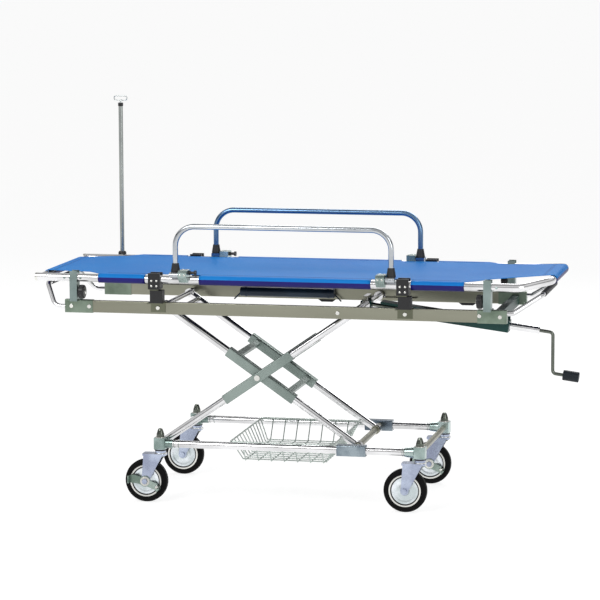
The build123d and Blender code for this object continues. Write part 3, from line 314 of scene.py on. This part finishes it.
def beads(name, places, radius, ratio, material, body):
    """Rivets, screw heads, stitches or ribs: places are (point, direction) pairs."""
    mesh = bpy.data.meshes.new(name + "_points")
    mesh.from_pydata([tuple(p) for p, _ in places], [], [])
    facing = mesh.attributes.new("facing", "FLOAT_VECTOR", "POINT")
    facing.data.foreach_set("vector", [v for _, d in places for v in d])
    source = bpy.data.objects.new(name + "_source", mesh)
    bpy.context.scene.collection.objects.link(source)
    step = source.modifiers.new("beads", "NODES")
    step.node_group = beads_on_points
    values = {"Radius": radius, "Length ratio": ratio, "Finish": material}
    for item in beads_on_points.interface.items_tree:
        if item.in_out == "INPUT" and item.name in values:
            step[item.identifier] = values[item.name]
    bpy.context.view_layer.update()
    shown = source.evaluated_get(bpy.context.evaluated_depsgraph_get())
    plain = bpy.data.meshes.new_from_object(shown)
    bpy.data.objects.remove(source)
    made = bpy.data.objects.new(name, plain)
    bpy.context.scene.collection.objects.link(made)
    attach(made, body)
    return made


def middle(low, high):
    return (low + high) / 2


# ---------------------------------------------------------------- wheels

def rim_rings(tag):
    low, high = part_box("tyre_" + tag)
    centre = middle(low, high)
    half = (high.y - low.y) / 2
    radius = (high.z - low.z) / 2
    bright, dark, plate, boss = [], [], [], []
    for side in (-1, 1):
        way = (0, side, 0)
        inner = radius * 0.672
        outer = radius * 0.742
        disc = radius * 0.62
        bright.append((centre, way, [(inner, half * 0.8), (outer, half * 0.8), (outer, half * 1.02),
                                     (outer * 0.97, half * 1.06), (inner, half * 1.02)]))
        dark.append((centre, way, [(disc * 0.97, half * 0.6), (inner, half * 0.6), (inner, half * 0.9),
                                   (disc * 0.97, half * 0.86)]))
        plate.append((centre, way, [(0.0065, half * 0.58), (disc, half * 0.58), (disc, half * 0.86),
                                    (disc * 0.93, half * 0.92), (disc * 0.8, half * 0.8), (disc * 0.48, half * 0.78),
                                    (disc * 0.42, half * 0.88), (0.0065, half * 0.9)]))
        boss.append((centre, way, [(0.0065, half * 0.9), (disc * 0.36, half * 0.9), (disc * 0.35, half * 0.98),
                                   (0.0065, half * 1.0)]))
    turnings("rim_ring_" + tag, bright, materials["zinc_bright"], "wheel_" + tag, 64)
    turnings("rim_groove_" + tag, dark, materials["black_plastic"], "wheel_" + tag, 64)
    turnings("hub_plate_" + tag, plate, materials["hub_zinc"], "wheel_" + tag, 64)
    turnings("hub_seal_" + tag, boss, materials["slider_grey"], "wheel_" + tag, 48)


def fork_races(tag):
    low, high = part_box("kingpins")
    corner = {"f": low.y + 0.0145, "r": high.y - 0.0145}[tag[0]]
    x = {"l": low.x + 0.0145, "r": high.x - 0.0145}[tag[1]]
    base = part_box("corner_blocks")[0].z
    at = (x, corner, base)
    race = [(0.0185, -0.021), (0.0215, -0.019), (0.0215, -0.0135), (0.0185, -0.0125)]
    seal = [(0.0185, -0.006), (0.0205, -0.0055), (0.0205, -0.0015), (0.0185, -0.001)]
    turnings("swivel_race_" + tag, [(at, (0, 0, 1), race)], materials["zinc_bright"], "fork_" + tag)
    turnings("swivel_seal_" + tag, [(at, (0, 0, 1), seal)], materials["black_rubber"], "fork_" + tag)


for tag in ("fl", "fr", "rl", "rr"):
    rim_rings(tag)
    fork_races(tag)


def brake_fittings(tag):
    """Washers round the axle and a ball at the pedal's far wing."""
    low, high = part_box("brake_" + tag)
    wheel_low, wheel_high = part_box("tyre_" + tag)
    x, z = middle(wheel_low.x, wheel_high.x), middle(wheel_low.z, wheel_high.z)
    face = high.y - 0.004
    washers = [((x, face, z), (0, -1, 0), [(0.0105, 0.0), (0.0175, 0.0), (0.0165, 0.0018), (0.0105, 0.0018)]),
               ((x, face, z), (0, -1, 0), [(0.0102, 0.0018), (0.0135, 0.0018), (0.0128, 0.003), (0.0102, 0.003)])]
    turnings("brake_washers_" + tag, washers, materials["zinc_bright"], "pedal_" + tag, 40)
    ball = [(0.0, 0.0), (0.0045, 0.0), (0.0045, 0.002)]
    ball += [(0.0068 * math.sin(a), 0.0075 - 0.0068 * math.cos(a)) for a in
             (math.radians(40 + 140 * i / 8) for i in range(8))] + [(0.0, 0.0143)]
    turnings("brake_ball_" + tag, [((x + 0.044, face, z - 0.018), (0, -1, 0), ball)], materials["zinc_bright"],
             "pedal_" + tag, 24)


for tag in ("fl", "rr"):
    brake_fittings(tag)


# ---------------------------------------------------------------- tubes

def rail_rings():
    """Clips and joint lines on the long rails, near their ends."""
    low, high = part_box("base_rails")
    radius = (high.z - low.z) / 2
    z = middle(low.z, high.z)
    rings, plates = [], []
    for y in (low.y + radius, high.y - radius):
        for x in (low.x + 0.031, low.x + 0.047, high.x - 0.034, high.x - 0.04):
            rings.append(((x, y, z), (1, 0, 0), [(radius, -0.0012), (radius + 0.0012, -0.0008),
                                                 (radius + 0.0012, 0.0008), (radius, 0.0012)]))
    return turnings("rail_joint_rings", rings, materials["sleeve_grey"], "base")


rail_rings()


def nut_edges():
    """A washer under each domed nut."""
    low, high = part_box("kingpins")
    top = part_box("corner_blocks")[1].z
    washers = []
    for x in (low.x + 0.0145, high.x - 0.0145):
        for y in (low.y + 0.0145, high.y - 0.0145):
            washers.append(((x, y, top), (0, 0, 1), [(0.0135, 0.0), (0.0175, 0.0), (0.0172, 0.0022), (0.0135, 0.0022)]))
    turnings("kingpin_washers", washers, materials["zinc_bright"], "base")


nut_edges()


# ---------------------------------------------------------------- stretcher fittings

bed_low, bed_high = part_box("stretcher_frame")
bed_y = bed_high.y - TUBE_R
spreader_x = bed_low.x + 0.015
bow_x = bed_high.x - TUBE_R
bed_z = bed_low.z + TUBE_R
bow_z = bed_z + 0.015


def tube_rivets():
    places = []
    for x in (spreader_x + 0.092, spreader_x + 0.112, spreader_x + 0.15, bow_x - 0.17, bow_x - 0.2):
        for side in (-1, 1):
            places.append((Vector((x, side * (bed_y + TUBE_R), bed_z)), (0, side, 0)))
    beads("frame_rivets", places, 0.0042, 0.5, materials["zinc_block"], "stretcher")


def tube_ends():
    lips = []
    for side in (-1, 1):
        lips.append(((bed_low.x, side * bed_y, bed_z), (1, 0, 0), [(0.0118, 0.0005), (0.0142, 0.0), (0.0143, 0.009),
                                                                  (0.0118, 0.009)]))
    turnings("tube_end_lips", lips, materials["zinc_bright"], "stretcher")
    # A dark disc 20 mm inside each open tube end, painted shade for the hollow bore.
    shade_discs = []
    for side in (-1, 1):
        shade_discs.append(((bed_low.x + 0.02, side * bed_y, bed_z), (1, 0, 0), [(0, 0), (0.0118, 0.0), (0.0118, 0.004),
                                                                          (0, 0.004)]))
    turnings("tube_end_shade_discs", shade_discs, bore_shade, "stretcher")


tube_rivets()
tube_ends()


def clamp_rivets():
    """Two rivets on each cradle's face, and screws on the rail clamps."""
    low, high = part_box("cradles")
    xs = (low.x + 0.021, high.x - 0.021)
    face_y = high.y
    places = []
    for x in xs:
        for dx in (-0.009, 0.009):
            for z in (low.z + 0.012, low.z + 0.03):
                for side in (-1, 1):
                    places.append((Vector((x + dx, side * face_y, z)), (0, side, 0)))
    beads("cradle_rivets", places, 0.0042, 0.5, materials["zinc_bright"], "carriage")
    low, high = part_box("rail_clamps")
    places = []
    for x in (low.x + 0.033 + 0.008, low.x + 0.033 + 0.023, high.x - 0.033 - 0.008, high.x - 0.033 - 0.023):
        for side in (-1, 1):
            places.append((Vector((x, side * high.y, 0.8045)), (0, side, 0)))
            places.append((Vector((x, side * (bed_y - 0.006), high.z)), (0, 0, 1)))
    beads("clamp_screws", places, 0.0038, 0.5, materials["zinc_bright"], "stretcher")


clamp_rivets()


def knob_grips(tag):
    """Ribs round a star knob's rim and a boss in its face."""
    low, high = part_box("clamp_knob_" + tag)
    centre = middle(low, high)
    radius = (high.z - low.z) / 2
    inner = 1 if tag[1] == "l" else -1
    x = (high.x - 0.0105) if inner > 0 else (low.x + 0.0105)
    places = []
    for i in range(24):
        angle = 2 * math.pi * i / 24
        out = Vector((0, math.cos(angle), math.sin(angle)))
        places.append((Vector((x, centre.y, centre.z)) + out * (radius - 0.0006), (1, 0, 0)))
    beads("knob_ribs_" + tag, places, 0.0016, 5.0, materials["black_plastic"], "knob_" + tag)
    face = high.x if inner > 0 else low.x
    boss = [(0, -0.001), (0.009, -0.001), (0.009, 0.0015), (0.006, 0.003), (0, 0.0035)]
    turnings("knob_boss_" + tag, [((face, centre.y, centre.z), (inner, 0, 0), boss)], materials["zinc_bright"],
             "knob_" + tag)


for tag in ("fl", "fr", "rl", "rr"):
    knob_grips(tag)


def pole_fittings():
    low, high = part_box("iv_pole")
    x = middle(low.x, high.x)
    y = middle(low.y, high.y)
    seat = 0.790
    collar = [(0.0082, -0.004), (0.0138, -0.004), (0.0148, 0.0), (0.0145, 0.0095), (0.012, 0.0135), (0.0082, 0.0135)]
    turnings("pole_collar", [((x, y, seat + 0.004), (0, 0, 1), collar)], materials["black_rubber"], "pole")
    cap = [(0.0079, -0.012), (0.0094, -0.011), (0.0094, 0.0), (0.0062, 0.0008), (0.0062, -0.001), (0.0079, -0.003)]
    turnings("pole_cap", [((x, y, high.z), (0, 0, 1), cap)], materials["black_plastic"], "pole")


pole_fittings()


# ---------------------------------------------------------------- canvas

CLOTH_FROM = spreader_x + 0.213
CLOTH_TO = spreader_x + 1.487
GAPS = ((spreader_x + 0.379, spreader_x + 0.571), (spreader_x + 1.168, spreader_x + 1.306))
EDGE_IN = 0.262
OUTLINE = (
    (spreader_x, 0.195),
    (spreader_x + 0.166, 0.235),
    (CLOTH_FROM, bed_y),
    (CLOTH_TO, bed_y),
    (CLOTH_TO + 0.077, 0.212),
    (bow_x, 0.155),
)
SLEEVE_R = TUBE_R + EASE + CLOTH / 2
SPREADER_SLEEVE_R = 0.011 + EASE + CLOTH / 2


def half_width(x):
    for (x0, y0), (x1, y1) in zip(OUTLINE, OUTLINE[1:]):
        if x <= x1:
            share = (x - x0) / (x1 - x0)
            return y0 + (y1 - y0) * share
    return OUTLINE[-1][1]


def in_gap(x):
    return any(a < x < b for a, b in GAPS)


def deck_height(x, share):
    """The cloth's middle height: taut at the sides and ends, with a shallow sag and a few long ripples."""
    if x < CLOTH_FROM:
        line = bed_z + SPREADER_SLEEVE_R + (SLEEVE_R - SPREADER_SLEEVE_R) * (x - spreader_x) / (CLOTH_FROM - spreader_x)
    elif x > CLOTH_TO + 0.037:
        line = bed_z + SLEEVE_R + (bow_z - bed_z) * (x - CLOTH_TO - 0.037) / (bow_x - CLOTH_TO - 0.037)
    else:
        line = bed_z + SLEEVE_R
    along = (x - spreader_x) / (bow_x - spreader_x)
    hold = max(0.0, math.sin(math.pi * along)) ** 0.5
    sag = 0.0035 * hold * (1 - share * share)
    ripple = 0.0006 * hold * math.sin(23 * along + 2 * share) * math.cos(2.6 * math.pi * share) * (1 - share ** 4)
    return line - sag + ripple


def stations(x0, x1, step):
    count = max(1, round((x1 - x0) / step))
    return [x0 + (x1 - x0) * i / count for i in range(count + 1)]


def make_canvas():
    breaks = sorted([spreader_x, CLOTH_FROM, CLOTH_TO, bow_x, OUTLINE[1][0], OUTLINE[4][0]] + [x for g in GAPS for x in g])
    xs = []
    for a, b in zip(breaks, breaks[1:]):
        xs += stations(a, b, 0.014)[:-1]
    xs.append(bow_x)
    edge = EDGE_IN / bed_y
    inner = [edge * math.sin(math.pi / 2 * (2 * j / 40 - 1)) for j in range(41)]
    hem = [edge + (1 - edge) * j / 4 for j in range(1, 5)]
    shares = [-h for h in reversed(hem)] + inner + hem
    points, faces, tones = [], [], []
    for x in xs:
        for share in shares:
            points.append(Vector((x, share * half_width(x), deck_height(x, share))))

    columns = len(shares)
    for i, (a, b) in enumerate(zip(xs, xs[1:])):
        cut = in_gap((a + b) / 2)
        for j in range(columns - 1):
            if cut and max(abs(shares[j]), abs(shares[j + 1])) > edge + 1e-6:
                continue
            k = i * columns + j
            faces.append((k, k + columns, k + columns + 1, k + 1))
            tones.append(0)

    def strip(path, xs_or_ys, point, tone):
        first = len(points)
        count = len(path)
        for at in xs_or_ys:
            for angle in path:
                points.append(point(at, angle))
        for i in range(len(xs_or_ys) - 1):
            for j in range(count - 1):
                a = first + i * count + j
                faces.append((a, a + count, a + count + 1, a + 1))
                # Faces past the sixth step round a wrap take the given tone, the indigo painted shade on the sleeve's
                # outer and lower side; the top of the wrap stays canvas blue.
                tones.append(tone if j > 5 else 0)

    turn = [math.pi / 2 - 1.55 * math.pi * i / 22 for i in range(23)]
    spans = ((CLOTH_FROM, GAPS[0][0]), (GAPS[0][1], GAPS[1][0]), (GAPS[1][1], CLOTH_TO))
    for side in (-1, 1):
        for x0, x1 in spans:
            run = [x for x in xs if x0 - 1e-6 <= x <= x1 + 1e-6]
            strip(turn, run, lambda x, a, s=side: Vector((x, s * (bed_y + SLEEVE_R * math.cos(a)),
                                                          bed_z + SLEEVE_R * math.sin(a))), 1)
    for centre_x, centre_z, radius, way, wide in (
        (spreader_x, bed_z, SPREADER_SLEEVE_R, -1, OUTLINE[0][1]),
        (bow_x, bow_z, SLEEVE_R, 1, OUTLINE[-1][1]),
    ):
        ys = [share * wide for share in shares]
        strip(turn, ys, lambda y, a, x=centre_x, z=centre_z, r=radius, w=way: Vector(
            (x + w * r * math.cos(a), y, z + r * math.sin(a))), 1)
    mesh = bpy.data.meshes.new("canvas_deck")
    mesh.from_pydata([tuple(p) for p in points], [], faces)
    mesh.materials.append(materials["canvas_blue"])
    mesh.materials.append(sleeve_shade_indigo)
    mesh.materials.append(canvas_underside_shade)
    mesh.materials.append(canvas_underside_shade)
    mesh.polygons.foreach_set("material_index", tones)
    mesh.polygons.foreach_set("use_smooth", [True] * len(faces))
    mesh.update()
    import bmesh
    work = bmesh.new()
    work.from_mesh(mesh)
    bmesh.ops.remove_doubles(work, verts=work.verts, dist=2e-5)
    bmesh.ops.recalc_face_normals(work, faces=work.faces)
    top = max(work.faces, key=lambda f: f.calc_area() if abs(f.normal.z) > 0.9 else 0)
    if top.normal.z < 0:
        bmesh.ops.reverse_faces(work, faces=work.faces)
    area = sum(f.calc_area() for f in work.faces)
    work.to_mesh(mesh)
    work.free()
    deck = bpy.data.objects.new("canvas_deck", mesh)
    bpy.context.scene.collection.objects.link(deck)
    wall = deck.modifiers.new("wall", "SOLIDIFY")
    wall.thickness = CLOTH * 0.8
    wall.offset = 0.0
    # The shell's back faces take the dark painted-shade underside finish (material offset 2).
    wall.material_offset = 2
    bpy.context.view_layer.update()
    plain = bpy.data.meshes.new_from_object(deck.evaluated_get(bpy.context.evaluated_depsgraph_get()))
    deck.modifiers.clear()
    deck.data = plain
    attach(deck, "stretcher")
    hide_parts("canvas")
    return deck, area


deck, cloth_area = make_canvas()


def seams():
    """Two rows of stitches along each sleeve and each end hem."""
    places = []
    lift = CLOTH * 0.4
    for side in (-1, 1):
        for inset in (0.022, 0.027):
            for x in stations(CLOTH_FROM + 0.03, CLOTH_TO - 0.02, 0.0075):
                if in_gap(x) or in_gap(x + 0.004):
                    continue
                wide = half_width(x)
                share = (wide - inset) / wide
                places.append((Vector((x, side * (wide - inset), deck_height(x, share) + lift)), (1, 0, 0)))
    for x, wide in ((spreader_x + 0.02, 0.19), (spreader_x + 0.026, 0.19), (bow_x - 0.026, 0.15), (bow_x - 0.032, 0.15)):
        for y in stations(-wide, wide, 0.0075):
            share = y / half_width(x)
            places.append((Vector((x, y, deck_height(x, share) + lift)), (0, 1, 0)))
    return beads("canvas_stitches", places, 0.0007, 3.4, thread_blue, "stretcher")


stitches = seams()


# ---------------------------------------------------------------- stage, light and camera

def only_seen(tree, shader_seen, shader_else, target, mirrors=True):
    """Camera, mirror and see-through rays take one shader, and the rest take the other."""
    path = tree.nodes.new("ShaderNodeLightPath")
    first = tree.nodes.new("ShaderNodeMath")
    first.operation = "MAXIMUM"
    second = tree.nodes.new("ShaderNodeMath")
    second.operation = "MAXIMUM"
    mix = tree.nodes.new("ShaderNodeMixShader")
    tree.links.new(path.outputs["Is Camera Ray"], first.inputs[0])
    tree.links.new(path.outputs["Is Transmission Ray"], first.inputs[1])
    tree.links.new(first.outputs[0], second.inputs[0])
    if mirrors:
        tree.links.new(path.outputs["Is Glossy Ray"], second.inputs[1])
    else:
        second.inputs[1].default_value = 0.0
    tree.links.new(second.outputs[0], mix.inputs[0])
    tree.links.new(shader_else, mix.inputs[1])
    tree.links.new(shader_seen, mix.inputs[2])
    tree.links.new(mix.outputs[0], target)


def make_floor():
    mesh = bpy.data.meshes.new("floor")
    reach = 300.0
    mesh.from_pydata([(-reach, -reach, 0), (reach, -reach, 0), (reach, reach, 0), (-reach, reach, 0)], [],
                     [(0, 1, 2, 3)])
    floor = bpy.data.objects.new("floor", mesh)
    bpy.context.scene.collection.objects.link(floor)
    material = bpy.data.materials.new("floor_pale")
    material.use_nodes = True
    tree = material.node_tree
    tree.nodes.remove(tree.nodes["Principled BSDF"])
    plain = tree.nodes.new("ShaderNodeBsdfDiffuse")
    plain.inputs["Color"].default_value = (0.8, 0.8, 0.8, 1)
    glow = tree.nodes.new("ShaderNodeEmission")
    glow.inputs["Strength"].default_value = 0.78
    matt = tree.nodes.new("ShaderNodeBsdfDiffuse")
    matt.inputs["Color"].default_value = (0.32, 0.32, 0.32, 1)
    both = tree.nodes.new("ShaderNodeAddShader")
    tree.links.new(glow.outputs[0], both.inputs[0])
    tree.links.new(matt.outputs[0], both.inputs[1])
    only_seen(tree, both.outputs[0], plain.outputs[0], tree.nodes["Material Output"].inputs["Surface"])
    mesh.materials.append(material)


def make_world():
    world = bpy.data.worlds.new("studio")
    bpy.context.scene.world = world
    world.use_nodes = True
    tree = world.node_tree
    soft = tree.nodes["Background"]
    place = tree.nodes.new("ShaderNodeTexCoord")
    split = tree.nodes.new("ShaderNodeSeparateXYZ")
    ramp = tree.nodes.new("ShaderNodeValToRGB")
    bands = ((0.0, 0.85), (0.2, 0.8), (0.3, 0.12), (0.36, 0.16), (0.44, 1.0), (0.75, 1.0), (0.86, 0.45), (1.0, 0.6))
    ramp.color_ramp.elements.remove(ramp.color_ramp.elements[1])
    ramp.color_ramp.elements[0].position = bands[0][0]
    ramp.color_ramp.elements[0].color = (bands[0][1], bands[0][1], bands[0][1], 1)
    for at, level in bands[1:]:
        stop = ramp.color_ramp.elements.new(at)
        stop.color = (level, level, level, 1)
    tree.links.new(place.outputs["Generated"], split.inputs[0])
    tree.links.new(split.outputs["Z"], ramp.inputs["Fac"])
    tree.links.new(ramp.outputs["Color"], soft.inputs["Color"])
    soft.inputs["Strength"].default_value = 0.75
    white = tree.nodes.new("ShaderNodeBackground")
    white.inputs["Color"].default_value = (1, 1, 1, 1)
    only_seen(tree, white.outputs[0], soft.outputs[0], tree.nodes["World Output"].inputs["Surface"], mirrors=False)


def softbox(name, place, aim, size, power):
    light = bpy.data.lights.new(name, "AREA")
    light.shape = "RECTANGLE"
    light.size, light.size_y = size
    light.energy = power
    lamp = bpy.data.objects.new(name, light)
    lamp.location = place
    lamp.rotation_euler = (Vector(aim) - Vector(place)).to_track_quat("-Z", "Y").to_euler()
    bpy.context.scene.collection.objects.link(lamp)


AZIMUTH = math.radians(12.4)
ELEVATION = math.radians(7.6)
ROLL = math.radians(-0.2)
DISTANCE = 9.7918
AIM = Vector((-0.05495, 0.0, 0.6859))


def make_camera():
    lens = bpy.data.cameras.new("camera")
    lens.sensor_width = 36.0
    lens.lens = 2794.4 / 600 * 36.0
    lens.clip_end = 1000.0
    camera = bpy.data.objects.new("camera", lens)
    bpy.context.scene.collection.objects.link(camera)
    away = Vector((math.sin(AZIMUTH) * math.cos(ELEVATION), -math.cos(AZIMUTH) * math.cos(ELEVATION),
                   math.sin(ELEVATION)))
    camera.location = AIM + away * DISTANCE
    look = (-away).to_track_quat("-Z", "Y").to_matrix().to_4x4()
    from mathutils import Matrix
    turn = look @ Matrix.Rotation(ROLL, 4, "Z")
    camera.rotation_euler = turn.to_euler()
    bpy.context.scene.camera = camera


make_floor()
make_world()
softbox("key", (-2.6, -4.2, 4.4), (0, 0, 0.7), (3.2, 2.2), 150)
softbox("fill", (3.8, -3.6, 2.2), (0, 0, 0.6), (2.0, 2.6), 55)
softbox("back", (0.5, 4.0, 3.6), (0, 0, 0.7), (4.0, 1.6), 90)
make_camera()
bpy.context.scene.view_settings.view_transform = "Standard"
